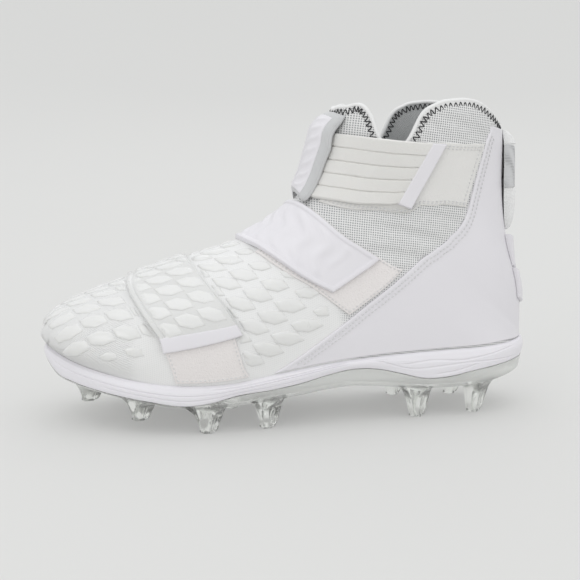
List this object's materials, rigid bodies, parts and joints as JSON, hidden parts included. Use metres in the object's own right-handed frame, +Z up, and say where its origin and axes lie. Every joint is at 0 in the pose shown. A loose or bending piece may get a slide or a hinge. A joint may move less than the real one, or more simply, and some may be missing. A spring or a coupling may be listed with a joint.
{
  "type": "american football cleat",
  "caption": "High-top american football cleat for the left foot: knit upper closed by three straps, foam midsole and a clear moulded plate with studs.",
  "frame": {"origin": "middle of the shoe's box, on the floor under the studs", "axes": "+X from toe to heel, +Y to the inner side of the foot, +Z up"},
  "size_m": [0.3106, 0.1114, 0.1962],
  "materials": {
    "white_knit": "knit textile, partly coated",
    "white_foam": "moulded foam with a smooth skin",
    "clear_plastic": "clear moulded plastic",
    "grey_lining": "brushed lining",
    "smooth_synthetic": "smooth coated synthetic leather",
    "cream_webbing": "woven webbing",
    "fleece": "loop pile",
    "grey_webbing": "woven webbing"
  },
  "bodies": {
    "root": {"upper": "white_knit", "midsole": "white_foam", "outsole_plate": "clear_plastic", "insole": "grey_lining", "heel_counter": "smooth_synthetic", "forefoot_patch": "fleece", "forefoot_strap": "white_knit", "forefoot_strap_tip": "smooth_synthetic", "midfoot_patch": "fleece", "midfoot_strap": "smooth_synthetic", "midfoot_strap_tip": "smooth_synthetic", "ankle_patch": "cream_webbing", "ankle_strap": "cream_webbing", "ankle_strap_tip": "smooth_synthetic", "tongue_plate": "grey_webbing", "pull_tab": "fleece", "pull_tab_band": "grey_webbing", "heel_tab_upper": "smooth_synthetic", "heel_tab_lower": "smooth_synthetic"}
  },
  "joints": []
}
